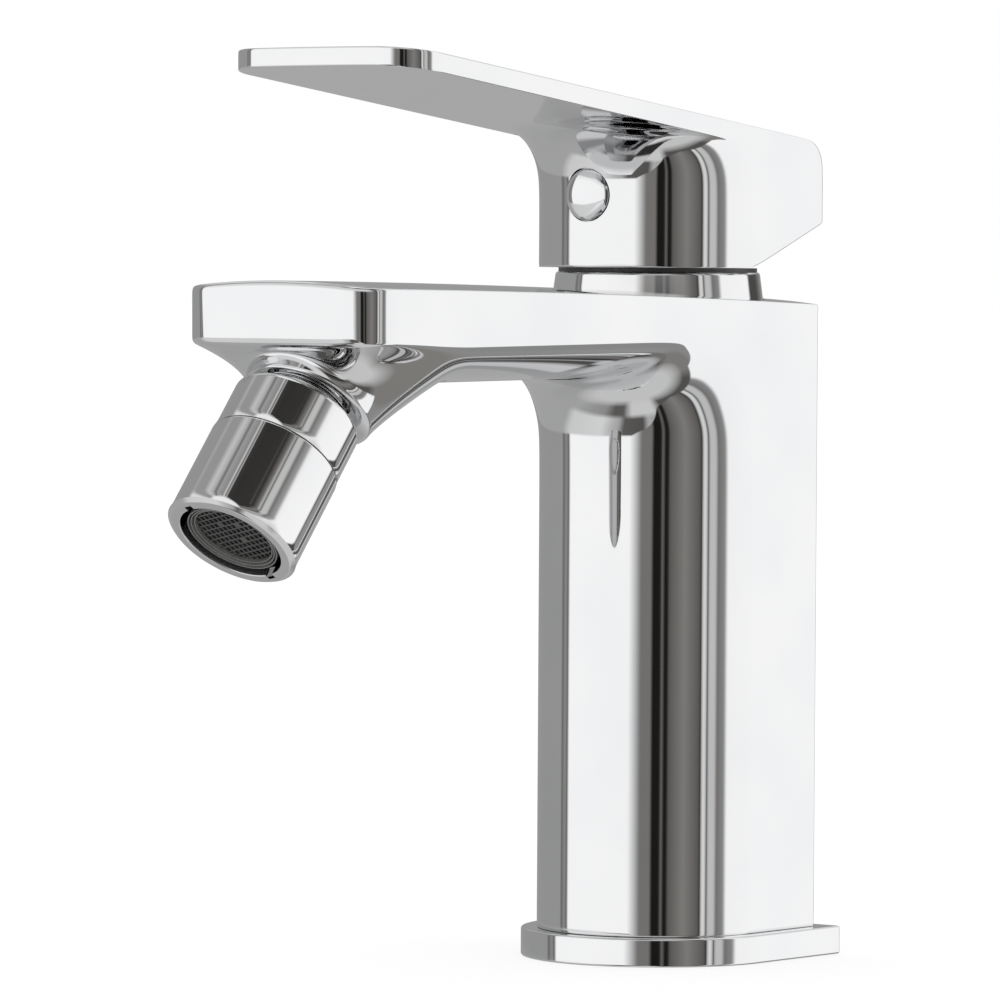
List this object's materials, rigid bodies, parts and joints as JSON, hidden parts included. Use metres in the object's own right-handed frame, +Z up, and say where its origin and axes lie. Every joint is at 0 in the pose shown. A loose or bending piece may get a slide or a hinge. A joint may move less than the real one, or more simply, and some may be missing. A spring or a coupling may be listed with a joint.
{
  "type": "bidet mixer",
  "caption": "Chrome lever bidet mixer: D-section column and slab spout, flat lever handle over a ceramic cartridge, and a swivelling ball-joint aerator.",
  "frame": {"origin": "on the cartridge axis, at the underside of the base flange, where the mixer meets the deck", "axes": "+Z up along the cartridge axis, the spout and the lever point to -Y, +X to the right-hand side"},
  "size_m": [0.051, 0.1609, 0.1711],
  "materials": {
    "chrome": "polished chrome plate",
    "brass": "machined",
    "steel": "turned",
    "rubber": "matte",
    "acetal": "moulded",
    "ceramic": "lapped ceramic",
    "aerator_grey": "moulded",
    "aerator_dark": "moulded"
  },
  "bodies": {
    "mixer_body": {"body_casting": "chrome", "base_flange": "chrome", "base_gasket": "rubber", "retaining_nut": "brass", "collar": "chrome", "slip_ring": "aerator_dark", "cartridge_base": "acetal", "port_seals": "rubber", "cartridge_housing": "acetal", "fixed_disc": "ceramic", "ball_nipple": "chrome", "nipple_seal": "rubber"},
    "rotor": {"cartridge_rotor": "acetal", "stem_pin": "steel"},
    "disc_slider": {"disc_carrier": "acetal", "moving_disc": "ceramic"},
    "lever": {"cartridge_stem": "brass", "handle": "chrome", "handle_bush": "acetal", "set_screw": "steel", "screw_cap": "chrome"},
    "swivel_tilt": {"ball_seat": "acetal"},
    "swivel_roll": {"ball_seal": "rubber"},
    "aerator": {"socket_nut": "chrome", "aerator_shell": "chrome", "aerator_washer": "rubber", "aerator_insert": "aerator_grey", "aerator_grille": "aerator_dark"}
  },
  "joints": [
    {"name": "temperature_turn", "type": "hinge", "parent": "mixer_body", "child": "rotor", "pos_m": [0, 0, 0.125], "axis": [0, 0, 1], "range_deg": [-45, 45]},
    {"name": "lever_lift", "type": "hinge", "parent": "rotor", "child": "lever", "pos_m": [0, 0, 0.125], "axis": [-1, 0, 0], "range_deg": [0, 20]},
    {"name": "disc_slide", "type": "slide", "parent": "rotor", "child": "disc_slider", "axis": [0, -1, 0], "range_m": [0, 0.0041]},
    {"name": "aerator_tilt", "type": "hinge", "parent": "mixer_body", "child": "swivel_tilt", "pos_m": [0, -0.1108, 0.1012], "axis": [1, 0, 0], "range_deg": [-8, 8]},
    {"name": "aerator_roll", "type": "hinge", "parent": "swivel_tilt", "child": "swivel_roll", "pos_m": [0, -0.1108, 0.1012], "axis": [0, 0.7771, -0.6293], "range_deg": [-8, 8]},
    {"name": "aerator_spin", "type": "hinge", "parent": "swivel_roll", "child": "aerator", "pos_m": [0, -0.1108, 0.1012], "axis": [0, 0.6293, 0.7771], "continuous": true}
  ],
  "couplings": [
    {"joint": "disc_slide", "follows": "lever_lift", "m_per_rad": 0.0115}
  ]
}
